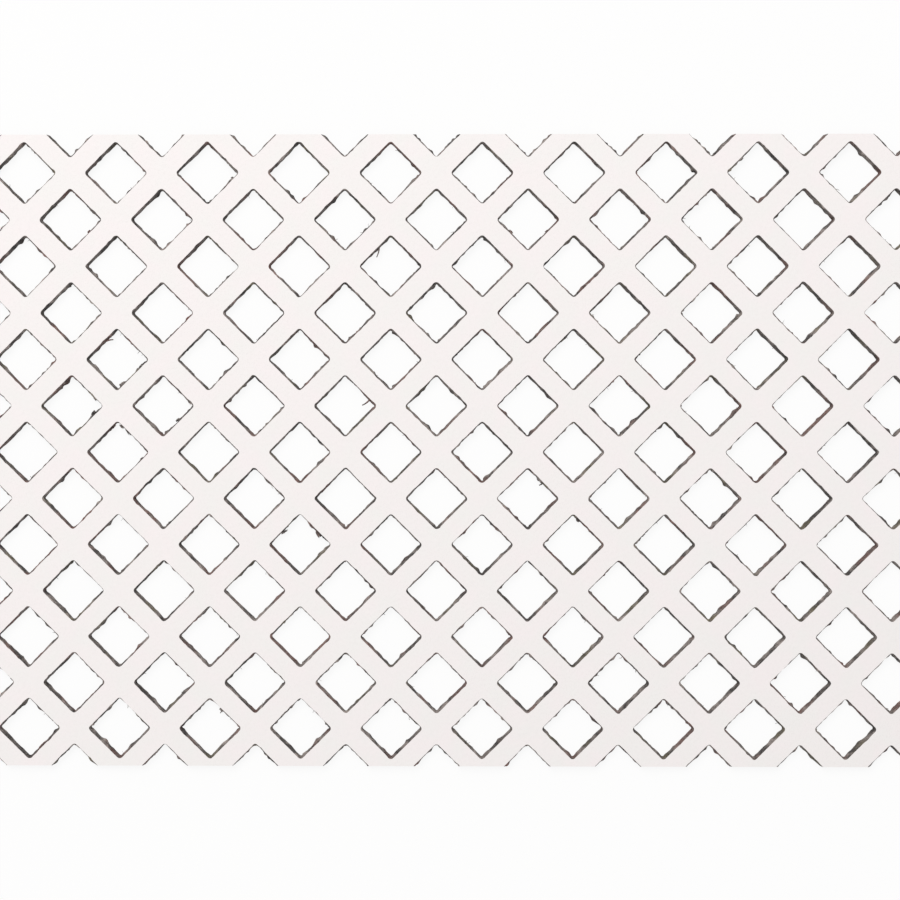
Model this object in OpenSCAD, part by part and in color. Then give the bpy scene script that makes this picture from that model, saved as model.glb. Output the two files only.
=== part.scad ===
// Decorative fibreboard panel: one thin sheet pierced by a lattice of square holes that stand on their corners.
// All sizes are in millimetres. The origin is the centre of the back face.
// X runs along the sheet, Y across it, and Z points out of the painted face.

/* [Sheet] */
// Length of the sheet, along X
sheet_length = 600; // [300:10:900]
// Width of the sheet, along Y
sheet_width = 300; // [200:10:450]
// Thickness of the board
sheet_thickness = 3; // [2:0.5:6]

/* [Lattice] */
// Distance between the centres of two neighbouring holes in one row
column_pitch = 43.3; // [40:0.1:60]
// Distance from one row of holes to the next
row_step = 22; // [20:0.1:30]

/* [Holes] */
// Side of a square hole at the painted face, from wall to wall
hole_side = 21.2; // [12:0.1:24]
// How far each wall of a hole leans into the hole from the painted face to the back
wall_lean = 0.5; // [0.1:0.1:1]
// Radius in the four corners of a hole, at the back
corner_radius = 0.9; // [0.2:0.1:3]

/* [Hidden] */

// A corner is drawn with this many steps to the full circle
arc_steps = 32;
// Length of a hole's flat walls, which is the same at every depth because the corners take up the lean
flat_wall = hole_side - 2 * wall_lean - 2 * corner_radius;
// A hole reaches this far from its centre along X and along Y, at the painted face
hole_reach = flat_wall / sqrt(2) + corner_radius + wall_lean;
// Rows and columns are counted outwards from the middle until they are past the edges
outer_row = ceil((sheet_width / 2 + hole_reach) / row_step);
outer_column = ceil((sheet_length / 2 + hole_reach) / column_pitch);

paint_colour = [0.94, 0.93, 0.92];

// Every second row is shifted by half a column, so that the holes stand in a diamond lattice
function row_shift(row) = row % 2 == 0 ? column_pitch / 2 : 0;

// True for a hole that lies on the sheet or is cut by one of its edges
function meets_sheet(x, y) =
    abs(x) < sheet_length / 2 + hole_reach && abs(y) < sheet_width / 2 + hole_reach;

// The punch of one hole: two crossed wedges for the leaning walls and a cone in each corner
module hole_punch() {
    narrow = hole_side / 2 - wall_lean;
    wide = hole_side / 2;
    rotate(45) {
        for (turn = [0, 90])
            rotate([90, 0, turn])
                linear_extrude(flat_wall, center = true)
                    polygon([[-narrow, 0], [narrow, 0], [wide, sheet_thickness], [-wide, sheet_thickness]]);
        for (side_x = [-1, 1], side_y = [-1, 1])
            translate([side_x, side_y] * flat_wall / 2)
                cylinder(sheet_thickness, corner_radius, corner_radius + wall_lean, $fn = arc_steps);
    }
}

module hole_lattice() {
    for (row = [-outer_row:outer_row], column = [-outer_column:outer_column]) {
        x = column * column_pitch + row_shift(row);
        y = row * row_step;
        if (meets_sheet(x, y))
            translate([x, y])
                hole_punch();
    }
}

// The sheet is sawn from a larger pierced board, so its edges run through the outermost holes
module panel() {
    color(paint_colour)
        difference() {
            translate([-sheet_length / 2, -sheet_width / 2, 0])
                cube([sheet_length, sheet_width, sheet_thickness]);
            hole_lattice();
        }
}

panel();
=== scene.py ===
"""Looks of the decorative fibreboard panel: white paint, torn hole walls, loose fibres and a raw back."""
import math

import bmesh
import bpy
import numpy as np
from mathutils import Matrix, Vector


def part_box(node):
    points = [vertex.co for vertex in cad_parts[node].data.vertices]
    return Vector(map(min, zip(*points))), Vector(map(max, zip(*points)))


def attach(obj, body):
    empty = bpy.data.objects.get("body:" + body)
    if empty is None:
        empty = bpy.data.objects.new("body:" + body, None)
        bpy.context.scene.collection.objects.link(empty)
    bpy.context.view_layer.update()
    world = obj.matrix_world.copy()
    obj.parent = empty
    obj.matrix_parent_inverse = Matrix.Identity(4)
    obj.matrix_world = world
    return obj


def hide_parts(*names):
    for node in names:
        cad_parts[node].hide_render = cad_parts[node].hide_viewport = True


MM = 0.001

# The lattice and the holes at the painted face, as in the part's source
COLUMN_PITCH = 43.3 * MM
ROW_STEP = 22 * MM
HOLE_SIDE = 21.2 * MM
WALL_LEAN = 0.5 * MM
CORNER_RADIUS = 0.9 * MM + WALL_LEAN
FLAT_WALL = HOLE_SIDE - 2 * CORNER_RADIUS

# The punch drifted a little, so the back of each hole lies this far from where the face puts it
PUNCH_DRIFT = np.array([-0.12, 0.12]) * MM

# Points round one hole: half a corner arc, a flat wall and half of the next corner arc make one quarter
ARC_STEPS = 2
FLAT_STEPS = 24
QUARTER_POINTS = FLAT_STEPS + 2 * ARC_STEPS
OUTLINE_POINTS = 4 * QUARTER_POINTS
# Along the middle of a bar one point serves this many points of the outline
POINTS_PER_SEGMENT = 4
CELL_POINTS = OUTLINE_POINTS // POINTS_PER_SEGMENT
CELL_QUARTER = CELL_POINTS // 4

PAINT, TORN_WALL, RAW_BACK, SAWN_EDGE = range(4)

# Where the board's sides lie on its square texture map: the face with the walls folded into the holes,
# the back below it and the four sawn edges as strips between them
MAP_NAME = "OFBake"
MAP_SIZE = 640 * MM
FACE_ON_MAP = np.array([320, 485]) * MM
BACK_ON_MAP = np.array([320, 155]) * MM
EDGES_ON_MAP = np.array([308, 315, 322, 329]) * MM

# Points this near to a saw cut are moved onto it, and points this near to it then count as on it
SNAP_TO_CUT = 1e-7
ON_CUT = 1e-6

# A torn wall reaches no farther than this into a corner of its hole
CORNER_INSET = 0.6 * CORNER_RADIUS
# Chips of the paint's edge, humps of fibre below it and humps at the back, round one hole on average
CHIPS = 6
FUZZ_HUMPS = 11
TEAR_HUMPS = 3

# Fibres that stand out of the torn walls
FIBRE_POINTS = 7
FIBRE_SIDES = 6
TUFT_ROLLS = 6
# Short hairs and rolls at random places in one hole, on average
STRAY_HAIRS = 2.5
STRAY_ROLLS = 1.5
# A hole whose centre is nearer than this to a sawn edge, along X and along Y, has none of them
STRAY_MARGIN = np.array([21.2, 17]) * MM
# Long hairs and tufts stand out at this share of the board's thickness
FIBRE_LEVEL = 0.6
# A long hair bows sideways by this share of its length
LONG_HAIR_BOW = 0.06
# Single long hairs: column and row of the hole, base and tip in millimetres from its centre, and width
LONG_HAIRS = [
    (-0.5, 4, (-5.4, 10.0), (-6.7, 4.3), 0.75),
    (-1, 1, (11.6, 3.0), (8.0, 0.3), 0.85),
    (1, -1, (7.4, 7.6), (5.4, 6.3), 0.80),
    (-3.5, 2, (-5.6, 8.6), (-1.9, 9.4), 0.85),
    (-3.5, 2, (-5.6, 8.7), (-3.9, 10.0), 0.55),
    (-2.5, -6, (5.6, 8.8), (4.8, 7.1), 0.60),
    (-3, -5, (8.9, -5.6), (7.9, -4.6), 0.35),
]
# Tufts of torn fibre: column and row of the hole, middle in millimetres from its centre, length and radius
TUFTS = [
    (1, 5, (-8.2, -5.9), 2.6, 0.75),
    (1, 5, (8.8, -5.4), 2.8, 0.40),
    (-4, 1, (10.2, -3.6), 3.2, 0.90),
    (-4, 1, (10.9, 3.3), 2.0, 0.45),
    (-3.5, 0, (-2.6, 11.6), 4.0, 0.50),
    (-3.5, 0, (1.6, 12.3), 3.0, 0.55),
    (-3.5, 0, (4.6, 9.6), 4.5, 0.45),
    (-3.5, 0, (11.3, -2.8), 2.2, 0.45),
    (-3, 1, (7.2, -6.7), 2.8, 0.75),
    (-3, 1, (3.8, -10.6), 1.8, 0.40),
    (-4, 5, (8.5, -5.6), 1.8, 0.70),
    (-1.5, -2, (8.7, 4.5), 4.2, 1.05),
    (-1.5, -2, (-7.6, 6.1), 4.0, 0.60),
    (-3.5, 2, (2.3, -11.8), 3.6, 0.85),
    (-2.5, -6, (5.2, 8.7), 3.0, 0.60),
    (-2.5, 6, (11.7, -2.2), 1.5, 0.60),
    (1.5, -2, (2.1, 11.9), 2.6, 0.85),
]

RANDOM = np.random.default_rng(20)


def loop_noise(knots):
    """Smooth random values from -1 to 1 round a hole's outline, with this many independent places."""
    values = RANDOM.uniform(-1, 1, knots)
    place = np.arange(OUTLINE_POINTS) * knots / OUTLINE_POINTS
    before = place.astype(int)
    part = place - before
    part = part * part * (3 - 2 * part)
    return values[before] * (1 - part) + values[(before + 1) % knots] * part


def bumps(count, lowest, highest, narrowest, widest):
    """Separate humps round a hole's outline: heights in metres, widths in outline points."""
    index = np.arange(OUTLINE_POINTS)
    total = np.zeros(OUTLINE_POINTS)
    for _ in range(count):
        centre = RANDOM.uniform(0, OUTLINE_POINTS)
        width = RANDOM.uniform(narrowest, widest)
        height = RANDOM.uniform(lowest, highest)
        away = np.abs(index - centre)
        away = np.minimum(away, OUTLINE_POINTS - away)
        total = np.maximum(total, height * np.exp(-(away / width) ** 2))
    return total


def hole_outline():
    """The outline of a hole round its centre, and at each point the direction that leads into the board."""
    points = []
    outward = []
    for quarter in range(4):
        corner = math.radians(90 * quarter)
        centre = np.array([math.cos(corner), math.sin(corner)]) * FLAT_WALL / math.sqrt(2)
        next_corner = corner + math.pi / 2
        next_centre = np.array([math.cos(next_corner), math.sin(next_corner)]) * FLAT_WALL / math.sqrt(2)
        middle = corner + math.pi / 4
        for step in range(ARC_STEPS):
            angle = corner + math.pi / 4 * step / ARC_STEPS
            direction = np.array([math.cos(angle), math.sin(angle)])
            points.append(centre + direction * CORNER_RADIUS)
            outward.append(direction)
        direction = np.array([math.cos(middle), math.sin(middle)])
        for step in range(FLAT_STEPS):
            along = step / FLAT_STEPS
            points.append(centre * (1 - along) + next_centre * along + direction * CORNER_RADIUS)
            outward.append(direction)
        for step in range(ARC_STEPS):
            angle = middle + math.pi / 4 * step / ARC_STEPS
            direction = np.array([math.cos(angle), math.sin(angle)])
            points.append(next_centre + direction * CORNER_RADIUS)
            outward.append(direction)
    return np.array(points), np.array(outward)


def cell_outline():
    """The middle lines of the four bars round a hole, as points round its centre."""
    corners = np.array([
        [COLUMN_PITCH / 2, 0],
        [0, ROW_STEP],
        [-COLUMN_PITCH / 2, 0],
        [0, -ROW_STEP],
    ])
    points = []
    for quarter in range(4):
        start = corners[quarter]
        end = corners[(quarter + 1) % 4]
        for step in range(CELL_QUARTER):
            points.append(start + (end - start) * step / CELL_QUARTER)
    return np.array(points)


def hole_centres(length, width):
    """Centres of the holes whose cell lies on the sheet or is cut by its edges."""
    centres = []
    last_row = math.ceil(width / 2 / ROW_STEP)
    last_column = math.ceil(length / 2 / COLUMN_PITCH) + 1
    for row in range(-last_row, last_row + 1):
        shift = 0.5 if row % 2 == 0 else 0.0
        for column in range(-last_column, last_column + 1):
            x = (column + shift) * COLUMN_PITCH
            y = row * ROW_STEP
            if abs(x) - COLUMN_PITCH / 2 < length / 2 and abs(y) - ROW_STEP < width / 2:
                centres.append((x, y))
    return centres


def most_inset():
    """How far each outline point may move into the hole: in a corner only as far as its radius lets it."""
    step = np.arange(OUTLINE_POINTS) % QUARTER_POINTS
    from_corner = np.minimum(step, QUARTER_POINTS - step)
    return np.where(from_corner <= ARC_STEPS, CORNER_INSET, HOLE_SIDE / 2)


def wall_rings(outward, thickness):
    """Rings of one torn hole from the paint's edge down to the back: distance into the hole and height."""
    # Paint that has chipped away from the edge
    chip = (0.06 + 0.08 * np.abs(loop_noise(50))) * MM
    chip = chip + bumps(RANDOM.poisson(CHIPS), 0.10 * MM, 0.3 * MM, 0.8, 2.2)
    # Fibre that stands out just below the paint
    fuzz = (0.19 + 0.15 * loop_noise(10) + 0.16 * loop_noise(56)) * MM
    fuzz = fuzz + bumps(RANDOM.poisson(FUZZ_HUMPS), 0.15 * MM, 0.8 * MM, 0.8, 2.2)
    # How far the torn wall reaches into the hole at the back
    ragged = (0.21 + 0.14 * loop_noise(8) + 0.15 * loop_noise(14) + 0.22 * loop_noise(44)) * MM
    tear = WALL_LEAN + ragged - outward @ PUNCH_DRIFT
    tear = tear + bumps(RANDOM.poisson(TEAR_HUMPS), 0.2 * MM, 0.8 * MM, 0.9, 2.4)
    tear = np.maximum(tear, 0.06 * MM)
    middle = np.maximum(0.5 * tear, 0.7 * fuzz) + 0.08 * MM * loop_noise(56)
    fuzz_height = thickness - (0.16 + 0.10 * np.abs(loop_noise(40))) * MM
    middle_height = thickness * (0.5 + 0.12 * loop_noise(28))
    most = most_inset()
    return [
        (-chip, np.full(OUTLINE_POINTS, thickness)),
        (np.minimum(fuzz, most), fuzz_height),
        (np.minimum(middle, most), middle_height),
        (np.minimum(tear, most), np.zeros(OUTLINE_POINTS)),
    ]


class BoardMesh:
    """Collects the pierced board's vertices and faces. Neighbouring holes share the bars' middle lines."""

    def __init__(self):
        self.vertices = []
        self.front_map = []
        self.faces = []
        self.materials = []
        self.shared = {}

    def add(self, x, y, z, map_x, map_y):
        self.vertices.append((x, y, z))
        self.front_map.append((map_x, map_y))
        return len(self.vertices) - 1

    def add_shared(self, x, y, z):
        key = (round(x / MM, 3), round(y / MM, 3), round(z / MM, 3))
        if key not in self.shared:
            self.shared[key] = self.add(x, y, z, x, y)
        return self.shared[key]

    def face(self, corners, material):
        self.faces.append(corners)
        self.materials.append(material)

    def flat_ring(self, cell, rim, material):
        """Fills the board's flat side between the bars' middle lines and the rim of the hole."""
        for segment in range(CELL_POINTS):
            near = cell[segment]
            far = cell[(segment + 1) % CELL_POINTS]
            first = segment * POINTS_PER_SEGMENT
            half = POINTS_PER_SEGMENT // 2
            steps = [rim[(first + step) % OUTLINE_POINTS] for step in range(POINTS_PER_SEGMENT + 1)]
            for step in range(half):
                self.face((near, steps[step + 1], steps[step]), material)
            self.face((near, far, steps[half]), material)
            for step in range(half, POINTS_PER_SEGMENT):
                self.face((far, steps[step + 1], steps[step]), material)

    def hole(self, centre, outline, outward, cell, thickness):
        """Adds one hole with its torn wall and the board round it."""
        rings = []
        for inset, height in wall_rings(outward, thickness):
            place = outline - outward * inset[:, None] + centre
            on_map = outline - outward * (inset.clip(max=0) + thickness - height)[:, None] + centre
            ring = [
                self.add(place[i, 0], place[i, 1], height[i], on_map[i, 0], on_map[i, 1])
                for i in range(OUTLINE_POINTS)
            ]
            rings.append(ring)
        top = [self.add_shared(x, y, thickness) for x, y in cell + centre]
        bottom = [self.add_shared(x, y, 0.0) for x, y in cell + centre]
        self.flat_ring(top, rings[0], PAINT)
        for upper, lower in zip(rings, rings[1:]):
            for i in range(OUTLINE_POINTS):
                j = (i + 1) % OUTLINE_POINTS
                self.face((upper[i], upper[j], lower[j], lower[i]), TORN_WALL)
        self.flat_ring(bottom, rings[-1], RAW_BACK)

    def write_map(self, mesh):
        """Lays the face, the walls and the back out on the texture map."""
        corner_vertex = [vertex for face in self.faces for vertex in face]
        on_back = [
            material == RAW_BACK for face, material in zip(self.faces, self.materials) for _ in face
        ]
        face_place = np.array(self.front_map)[corner_vertex] + FACE_ON_MAP
        back_place = np.array(self.vertices)[corner_vertex, :2] + BACK_ON_MAP
        place = np.where(np.array(on_back)[:, None], back_place, face_place) / MAP_SIZE
        mesh.uv_layers.new(name=MAP_NAME).uv.foreach_set("vector", place.astype(np.float32).ravel())


def saw_off(board, length, width):
    """Cuts the sheet out of the endless lattice with four straight saw cuts and closes the cut bars."""
    board_map = board.loops.layers.uv[MAP_NAME]
    cuts = [
        (Vector((length / 2, 0, 0)), Vector((1, 0, 0))),
        (Vector((-length / 2, 0, 0)), Vector((-1, 0, 0))),
        (Vector((0, width / 2, 0)), Vector((0, 1, 0))),
        (Vector((0, -width / 2, 0)), Vector((0, -1, 0))),
    ]
    for (place, outside), strip in zip(cuts, EDGES_ON_MAP):
        bmesh.ops.bisect_plane(
            board,
            geom=board.verts[:] + board.edges[:] + board.faces[:],
            dist=SNAP_TO_CUT,
            plane_co=place,
            plane_no=outside,
            clear_outer=True,
        )
        open_edges = [edge for edge in board.edges if edge.is_boundary]
        on_cut = [
            edge for edge in open_edges
            if all(abs((vertex.co - place).dot(outside)) < ON_CUT for vertex in edge.verts)
        ]
        filled = bmesh.ops.holes_fill(board, edges=on_cut, sides=0)
        for face in filled["faces"]:
            face.material_index = SAWN_EDGE
            for corner in face.loops:
                x, y, z = corner.vert.co
                along = y if outside.x else x
                corner[board_map].uv = ((along + MAP_SIZE / 2) / MAP_SIZE, (strip + z) / MAP_SIZE)


def make_board(length, width, thickness):
    """The whole sheet as one closed mesh: the lattice of torn holes, sawn to size."""
    outline, outward = hole_outline()
    cell = cell_outline()
    source = BoardMesh()
    for centre in hole_centres(length, width):
        source.hole(np.array(centre), outline, outward, cell, thickness)
    mesh = bpy.data.meshes.new("panel_board")
    mesh.from_pydata(source.vertices, [], source.faces)
    mesh.polygons.foreach_set("material_index", source.materials)
    source.write_map(mesh)
    board = bmesh.new()
    board.from_mesh(mesh)
    saw_off(board, length, width)
    bmesh.ops.recalc_face_normals(board, faces=board.faces[:])
    board.to_mesh(mesh)
    board.free()
    return bpy.data.objects.new("panel_board", mesh)


class FibreMesh:
    """Collects thin closed fibres, each a tapered tube along a path."""

    def __init__(self):
        self.vertices = []
        self.faces = []

    def add(self, path, radii):
        along = np.gradient(path, axis=0)
        along /= np.linalg.norm(along, axis=1)[:, None]
        across = np.cross(along, (0, 0, 1))
        across /= np.linalg.norm(across, axis=1)[:, None]
        upward = np.cross(across, along)
        first = len(self.vertices)
        for i in range(len(path)):
            for k in range(FIBRE_SIDES):
                angle = 2 * math.pi * k / FIBRE_SIDES
                offset = across[i] * math.cos(angle) + upward[i] * math.sin(angle)
                self.vertices.append(tuple(path[i] + offset * radii[i]))
        for i in range(len(path) - 1):
            start = first + i * FIBRE_SIDES
            for k in range(FIBRE_SIDES):
                after = (k + 1) % FIBRE_SIDES
                near = (start + k, start + after)
                far = (start + FIBRE_SIDES + after, start + FIBRE_SIDES + k)
                self.faces.append(near + far)
        last = first + (len(path) - 1) * FIBRE_SIDES
        self.faces.append(tuple(range(first, first + FIBRE_SIDES)))
        self.faces.append(tuple(range(last, last + FIBRE_SIDES)))


def hair(base, tip, height, bow, width, thickness):
    """Path and radii of a hair from base to tip, bowed sideways by a share of its length."""
    share = np.linspace(0, 1, FIBRE_POINTS)
    span = tip - base
    sideways = np.array([-span[1], span[0]]) * bow
    level = base + span * share[:, None] + sideways * np.sin(math.pi * share)[:, None]
    taper = 0.4
    radii = width / 2 * (1 - taper * share)
    lift = 0.25 * MM
    rise = height + lift * np.sin(2 * share)
    return np.column_stack([level, np.clip(rise, width, thickness - width)]), radii


def fibre_roll(middle, along, length, height, radius, thickness):
    """Path and radii of a roll of torn fibre that lies along the wall and wavers sideways."""
    share = np.linspace(0, 1, FIBRE_POINTS)
    across = np.array([-along[1], along[0]])
    waver = radius * RANDOM.uniform(-0.5, 0.5, FIBRE_POINTS)
    level = middle + along * ((share - 0.5) * length)[:, None] + across * waver[:, None]
    blunt_end = 0.15
    fullness = np.sin(math.pi * share) ** 0.6
    radii = radius * (blunt_end + (1 - blunt_end) * fullness)
    rise = np.clip(np.full(FIBRE_POINTS, height), radius, thickness - radius)
    return np.column_stack([level, rise]), radii


def tuft(fibres, middle, along, length, height, radius, thickness):
    """Adds a tuft: rolls of different lengths that lie beside and over one another."""
    across = np.array([-along[1], along[0]])
    for _ in range(TUFT_ROLLS):
        sideways = across * radius * RANDOM.uniform(-0.6, 0.6)
        onwards = along * length * RANDOM.uniform(-0.15, 0.15)
        place = middle + sideways + onwards
        turn = RANDOM.uniform(-0.35, 0.35)
        heading = along * math.cos(turn) + across * math.sin(turn)
        own_length = length * RANDOM.uniform(0.5, 0.9)
        own_height = height + radius * RANDOM.uniform(-0.6, 0.6)
        own_radius = radius * RANDOM.uniform(0.35, 0.6)
        fibres.add(*fibre_roll(place, heading, own_length, own_height, own_radius, thickness))


def stray_fibres(fibres, centre, outline, outward, thickness):
    """Adds one hole's random short hairs and rolls, which start at its wall."""
    for _ in range(RANDOM.poisson(STRAY_HAIRS)):
        i = RANDOM.integers(OUTLINE_POINTS)
        turn = RANDOM.uniform(-1.1, 1.1)
        inward = -outward[i]
        across = np.array([-inward[1], inward[0]])
        direction = inward * math.cos(turn) + across * math.sin(turn)
        base = centre + outline[i]
        tip = base + direction * RANDOM.uniform(0.7, 2.0) * MM
        width = RANDOM.uniform(0.14, 0.28) * MM
        height = RANDOM.uniform(0.3, 0.9) * thickness
        fibres.add(*hair(base, tip, height, RANDOM.uniform(-0.3, 0.3), width, thickness))
    for _ in range(RANDOM.poisson(STRAY_ROLLS)):
        i = RANDOM.integers(OUTLINE_POINTS)
        inward = -outward[i]
        along = np.array([-inward[1], inward[0]])
        radius = RANDOM.uniform(0.14, 0.32) * MM
        length = RANDOM.uniform(0.9, 2.4) * MM
        height = RANDOM.uniform(0.35, 0.95) * thickness
        middle = centre + outline[i] + inward * RANDOM.uniform(0.2, 0.5) * MM
        fibres.add(*fibre_roll(middle, along, length, height, radius, thickness))


def make_fibres(length, width, thickness):
    """All loose fibres as one mesh: the long hairs and tufts at their places and short ones at random."""
    outline, outward = hole_outline()
    fibres = FibreMesh()
    level = FIBRE_LEVEL * thickness
    for column, row, base, tip, hair_width in LONG_HAIRS:
        centre = np.array([column * COLUMN_PITCH, row * ROW_STEP])
        root = centre + np.array(base) * MM
        end = centre + np.array(tip) * MM
        fibres.add(*hair(root, end, level, LONG_HAIR_BOW, hair_width * MM, thickness))
    for column, row, middle, tuft_length, radius in TUFTS:
        centre = np.array([column * COLUMN_PITCH, row * ROW_STEP])
        side = np.sign(middle)
        along = np.array([-side[1], side[0]]) / math.sqrt(2)
        place = centre + np.array(middle) * MM
        tuft(fibres, place, along, tuft_length * MM, level, radius * MM, thickness)
    reach = np.array([length, width]) / 2 - STRAY_MARGIN
    for centre in hole_centres(length, width):
        if np.all(np.abs(centre) < reach):
            stray_fibres(fibres, np.array(centre), outline, outward, thickness)
    mesh = bpy.data.meshes.new("torn_fibres")
    mesh.from_pydata(fibres.vertices, [], fibres.faces)
    strands = bmesh.new()
    strands.from_mesh(mesh)
    bmesh.ops.recalc_face_normals(strands, faces=strands.faces[:])
    strands.to_mesh(mesh)
    strands.free()
    mesh.shade_smooth()
    return bpy.data.objects.new("torn_fibres", mesh)


class Surface:
    """A material under construction: its shader and short calls for the nodes that feed it."""

    def __init__(self, name):
        self.material = bpy.data.materials.new(name)
        self.material.use_nodes = True
        self.nodes = self.material.node_tree.nodes
        self.links = self.material.node_tree.links
        self.shader = self.nodes["Principled BSDF"]
        self.place = self.nodes.new("ShaderNodeTexCoord").outputs["Object"]

    def feed(self, socket, value):
        """Links a node's output to a socket, or sets the socket to a plain value."""
        if isinstance(value, bpy.types.NodeSocket):
            self.links.new(value, socket)
        else:
            socket.default_value = value

    def stretched(self, scale):
        """The place on the piece, with its axes stretched."""
        mapping = self.nodes.new("ShaderNodeMapping")
        mapping.inputs["Scale"].default_value = scale
        self.links.new(self.place, mapping.inputs["Vector"])
        return mapping.outputs["Vector"]

    def noise(self, scale, detail, place=None):
        node = self.nodes.new("ShaderNodeTexNoise")
        node.inputs["Scale"].default_value = scale
        node.inputs["Detail"].default_value = detail
        self.links.new(place or self.place, node.inputs["Vector"])
        return node.outputs["Fac"]

    def bands(self, direction, scale, distortion):
        node = self.nodes.new("ShaderNodeTexWave")
        node.bands_direction = direction
        node.inputs["Scale"].default_value = scale
        node.inputs["Distortion"].default_value = distortion
        self.links.new(self.place, node.inputs["Vector"])
        return node.outputs["Fac"]

    def between(self, value, low, high, low_result, high_result):
        """Carries a value from one range to another and holds it at the ends."""
        node = self.nodes.new("ShaderNodeMapRange")
        self.feed(node.inputs["Value"], value)
        node.inputs["From Min"].default_value = low
        node.inputs["From Max"].default_value = high
        node.inputs["To Min"].default_value = low_result
        node.inputs["To Max"].default_value = high_result
        return node.outputs["Result"]

    def calculate(self, operation, first, second):
        node = self.nodes.new("ShaderNodeMath")
        node.operation = operation
        self.feed(node.inputs[0], first)
        self.feed(node.inputs[1], second)
        return node.outputs[0]

    def mix(self, share, first, second, blend="MIX"):
        node = self.nodes.new("ShaderNodeMixRGB")
        node.blend_type = blend
        self.feed(node.inputs["Fac"], share)
        self.feed(node.inputs["Color1"], first)
        self.feed(node.inputs["Color2"], second)
        return node.outputs["Color"]

    def finish(self, colour, roughness, height, depth):
        """Sets the shader's colour, roughness and relief, whose depth is in metres."""
        bump = self.nodes.new("ShaderNodeBump")
        bump.inputs["Distance"].default_value = depth
        self.links.new(height, bump.inputs["Height"])
        self.feed(self.shader.inputs["Base Color"], colour)
        self.feed(self.shader.inputs["Roughness"], roughness)
        self.links.new(bump.outputs["Normal"], self.shader.inputs["Normal"])
        return self.material


def paint_material():
    """Rolled white paint: soft clouds of rosy and ivory white, a fine orange peel and a few dark specks."""
    rosy_white = (0.945, 0.899, 0.908, 1)
    ivory_white = (0.917, 0.910, 0.902, 1)
    dull_white = (0.890, 0.862, 0.865, 1)
    speck_brown = (0.42, 0.36, 0.33, 1)
    surface = Surface("matt_white_paint")
    clouds = surface.noise(90, 2)
    white = surface.mix(surface.between(clouds, 0.3, 0.7, 0, 1), rosy_white, ivory_white)
    peel = surface.noise(600, 3)
    white = surface.mix(surface.between(peel, 0.35, 0.75, 0, 0.3), white, dull_white)
    cells = surface.nodes.new("ShaderNodeTexVoronoi")
    cells.inputs["Scale"].default_value = 40
    surface.links.new(surface.place, cells.inputs["Vector"])
    speck = surface.between(cells.outputs["Distance"], 0.008, 0.016, 1, 0)
    chosen = surface.calculate("GREATER_THAN", cells.outputs["Color"], 0.62)
    white = surface.mix(surface.calculate("MULTIPLY", speck, chosen), white, speck_brown)
    surface.shader.inputs["Specular IOR Level"].default_value = 0.2
    return surface.finish(white, surface.between(peel, 0.3, 0.7, 0.62, 0.74), peel, 0.05 * MM)


def torn_material():
    """Broken fibre in the hole walls: patches of several browns, thin layers with painted shade in the gaps
    between them, and pale fibre ends.
    """
    dark_fibre = (0.042, 0.038, 0.037, 1)
    light_fibre = (0.345, 0.301, 0.282, 1)
    reddish_fibre = (0.200, 0.098, 0.084, 1)
    olive_fibre = (0.148, 0.130, 0.075, 1)
    # Near black, for the painted shade in the gaps between the layers
    painted_gap_shade = (0.033, 0.029, 0.028, 1)
    pale_end = (0.322, 0.284, 0.264, 1)
    surface = Surface("torn_fibre")
    patches = surface.noise(170, 3)
    brown = surface.mix(surface.between(patches, 0.41, 0.61, 0, 1), dark_fibre, light_fibre)
    tint = surface.noise(70, 2)
    brown = surface.mix(surface.between(tint, 0.52, 0.64, 0, 0.75), brown, reddish_fibre)
    brown = surface.mix(surface.between(tint, 0.42, 0.30, 0, 0.8), brown, olive_fibre)
    layers = surface.noise(1, 3, surface.stretched((350, 350, 2400)))
    # Painted shade: where the layers' relief is low, in the gaps between them, the brown is darkened
    # towards near black
    brown = surface.mix(surface.between(layers, 0.40, 0.58, 0.75, 0), brown, painted_gap_shade)
    ends = surface.noise(1, 2, surface.stretched((600, 600, 3600)))
    brown = surface.mix(surface.between(ends, 0.52, 0.70, 0, 0.5), brown, pale_end)
    relief = surface.calculate("ADD", layers, ends)
    return surface.finish(brown, surface.between(layers, 0.3, 0.7, 0.8, 0.98), relief, 0.3 * MM)


def back_material():
    """Raw back of hardboard: pressed brown fibre with painted shade where its relief is low, and the print
    of the wire screen that it was dried on.
    """
    deep_brown = (0.150, 0.094, 0.060, 1)
    light_brown = (0.205, 0.135, 0.088, 1)
    # Darker brown for the painted shade in the low parts of the fibre's relief
    painted_fibre_shade = (0.075, 0.047, 0.031, 1)
    screen_mark = (0.085, 0.054, 0.036, 1)
    surface = Surface("raw_back")
    fibre = surface.noise(320, 6)
    clouds = surface.noise(25, 3)
    brown = surface.mix(surface.between(clouds, 0.3, 0.7, 0, 1), deep_brown, light_brown)
    # Painted shade: where the fibre's relief is low, the brown is darkened by up to a half
    brown = surface.mix(surface.between(fibre, 0.35, 0.65, 0.5, 0), brown, painted_fibre_shade)
    screen = surface.calculate("MULTIPLY", surface.bands("X", 210, 0.4), surface.bands("Y", 210, 0.4))
    brown = surface.mix(surface.calculate("MULTIPLY", screen, 0.35), brown, screen_mark)
    relief = surface.calculate("ADD", screen, surface.calculate("MULTIPLY", fibre, 0.6))
    return surface.finish(brown, surface.between(fibre, 0.3, 0.7, 0.82, 0.95), relief, 0.12 * MM)


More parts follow.
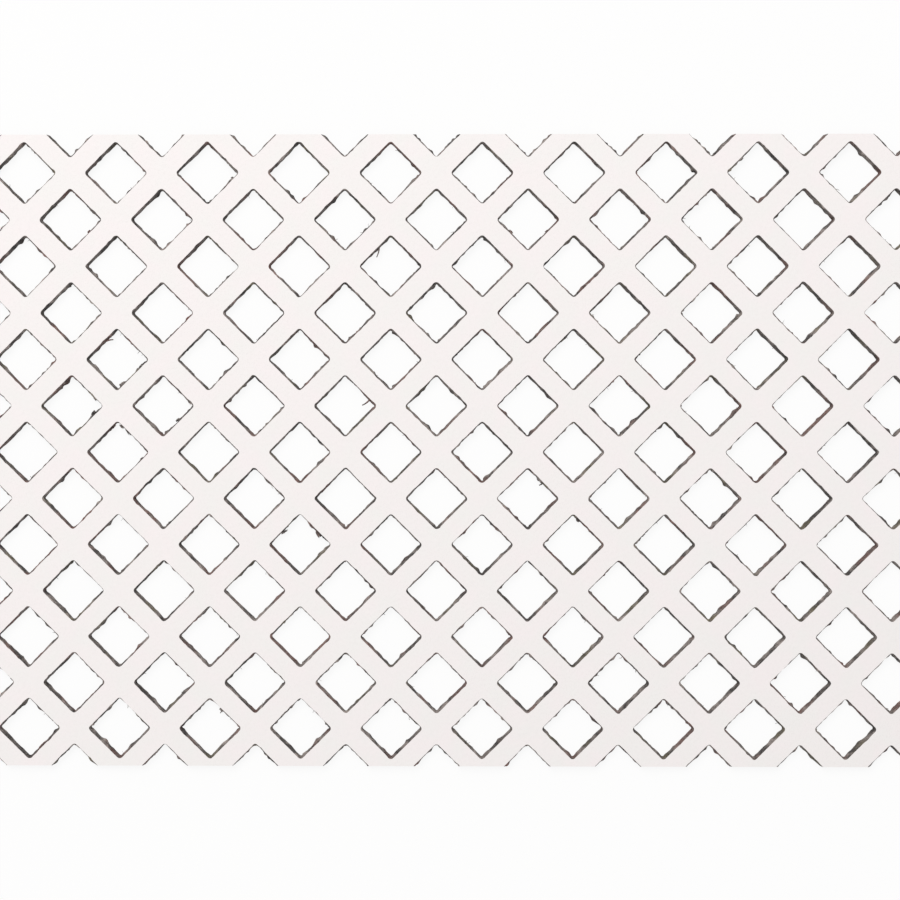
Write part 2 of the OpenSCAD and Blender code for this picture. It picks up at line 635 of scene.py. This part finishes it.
def sawn_material():
    """Sawn rim of the sheet: raw fibre in thin layers with upright marks of the saw's teeth."""
    dark_layer = (0.120, 0.080, 0.054, 1)
    light_layer = (0.200, 0.140, 0.098, 1)
    tooth_mark = (0.078, 0.050, 0.035, 1)
    surface = Surface("sawn_fibre")
    layers = surface.noise(1, 3, surface.stretched((60, 60, 1800)))
    teeth = surface.noise(1, 2, surface.stretched((900, 900, 120)))
    brown = surface.mix(surface.between(layers, 0.3, 0.7, 0, 1), dark_layer, light_layer)
    brown = surface.mix(surface.between(teeth, 0.4, 0.65, 0.45, 0), brown, tooth_mark)
    relief = surface.calculate("ADD", layers, teeth)
    return surface.finish(brown, surface.between(teeth, 0.3, 0.7, 0.8, 0.95), relief, 0.1 * MM)


def seen_as_ground(nodes, links):
    """An output that is 1 for rays that show the ground, also in gloss or glass, and 0 for light."""
    path = nodes.new("ShaderNodeLightPath").outputs
    shown = path["Is Camera Ray"]
    for kind in ("Is Glossy Ray", "Is Transmission Ray"):
        either = nodes.new("ShaderNodeMath")
        either.operation = "MAXIMUM"
        links.new(shown, either.inputs[0])
        links.new(path[kind], either.inputs[1])
        shown = either.outputs[0]
    return shown


def make_floor():
    """A white floor that keeps a faint shadow of the panel and fades into the white ground away from it."""
    side = 8
    drop = 0.05 * MM
    bpy.ops.mesh.primitive_plane_add(size=side, location=(0, 0, -drop))
    floor = bpy.context.object
    floor.name = "floor"
    material = bpy.data.materials.new("white_floor")
    material.use_nodes = True
    nodes = material.node_tree.nodes
    links = material.node_tree.links
    nodes.remove(nodes["Principled BSDF"])
    matt = nodes.new("ShaderNodeBsdfDiffuse")
    matt.inputs["Color"].default_value = (0.9, 0.9, 0.9, 1)
    glow = nodes.new("ShaderNodeEmission")
    # Near the panel a tenth of the floor's own shading shows. Farther out it is plain white
    away = nodes.new("ShaderNodeVectorMath")
    away.operation = "LENGTH"
    fade = nodes.new("ShaderNodeMapRange")
    fade.inputs["From Min"].default_value = 0.5
    fade.inputs["From Max"].default_value = 3
    fade.inputs["To Min"].default_value = 0.90
    fade.inputs["To Max"].default_value = 1
    share = nodes.new("ShaderNodeMath")
    share.operation = "MULTIPLY"
    mix = nodes.new("ShaderNodeMixShader")
    links.new(nodes.new("ShaderNodeTexCoord").outputs["Object"], away.inputs[0])
    links.new(away.outputs["Value"], fade.inputs["Value"])
    links.new(seen_as_ground(nodes, links), share.inputs[0])
    links.new(fade.outputs["Result"], share.inputs[1])
    links.new(share.outputs[0], mix.inputs["Fac"])
    links.new(matt.outputs[0], mix.inputs[1])
    links.new(glow.outputs[0], mix.inputs[2])
    links.new(mix.outputs[0], nodes["Material Output"].inputs["Surface"])
    floor.data.materials.append(material)


def make_world():
    """Even white light from all round, which shows as plain white where the camera looks past the floor."""
    world = bpy.data.worlds.new("studio")
    bpy.context.scene.world = world
    world.use_nodes = True
    nodes = world.node_tree.nodes
    links = world.node_tree.links
    background = nodes["Background"]
    background.inputs["Color"].default_value = (1, 1, 1, 1)
    strength = nodes.new("ShaderNodeMapRange")
    strength.inputs["To Min"].default_value = 0.52
    strength.inputs["To Max"].default_value = 1
    links.new(seen_as_ground(nodes, links), strength.inputs["Value"])
    links.new(strength.outputs["Result"], background.inputs["Strength"])


def make_softbox():
    """One large soft lamp, high up beyond the panel's upper edge and to the left."""
    lamp = bpy.data.lights.new("softbox", "AREA")
    lamp.size = 2
    lamp.energy = 76
    lamp.color = (1, 0.96, 0.93)
    softbox = bpy.data.objects.new("softbox", lamp)
    softbox.location = (-0.9, 2.1, 2.3)
    softbox.rotation_euler = (-softbox.location).to_track_quat("-Z", "Y").to_euler()
    bpy.context.collection.objects.link(softbox)


def make_camera(thickness):
    """Looks straight down on the sheet, a little turned about all three axes as in the photograph."""
    tilt = math.radians(-1.75)
    yaw = math.radians(0.45)
    roll = math.radians(0.015)
    distance = 687.8 * MM
    aim = Vector((6.40 * MM, 1.11 * MM, thickness))
    lens = bpy.data.cameras.new("camera")
    lens.sensor_width = 36
    lens.lens = 58
    turn = Matrix.Rotation(yaw, 4, "Y") @ Matrix.Rotation(tilt, 4, "X") @ Matrix.Rotation(roll, 4, "Z")
    camera = bpy.data.objects.new("camera", lens)
    camera.matrix_world = Matrix.Translation(aim) @ turn @ Matrix.Translation((0, 0, distance))
    bpy.context.collection.objects.link(camera)
    bpy.context.scene.camera = camera


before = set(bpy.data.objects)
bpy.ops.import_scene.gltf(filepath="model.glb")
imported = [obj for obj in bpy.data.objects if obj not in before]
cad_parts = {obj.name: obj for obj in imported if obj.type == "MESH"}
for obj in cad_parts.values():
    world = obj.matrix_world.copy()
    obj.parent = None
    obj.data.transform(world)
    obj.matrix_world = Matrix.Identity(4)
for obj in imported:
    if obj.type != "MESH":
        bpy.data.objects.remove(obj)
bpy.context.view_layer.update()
node_low, node_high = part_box("panel")
sheet_length, sheet_width, sheet_thickness = node_high - node_low

board = make_board(sheet_length, sheet_width, sheet_thickness)
bpy.context.collection.objects.link(board)
torn_fibre = torn_material()
for finish in (paint_material(), torn_fibre, back_material(), sawn_material()):
    board.data.materials.append(finish)
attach(board, "root")
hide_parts("panel")

fibres = make_fibres(sheet_length, sheet_width, sheet_thickness)
bpy.context.collection.objects.link(fibres)
fibres.data.materials.append(torn_fibre)
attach(fibres, "root")

make_floor()
make_world()
make_softbox()
make_camera(sheet_thickness)
bpy.context.scene.view_settings.view_transform = "Standard"
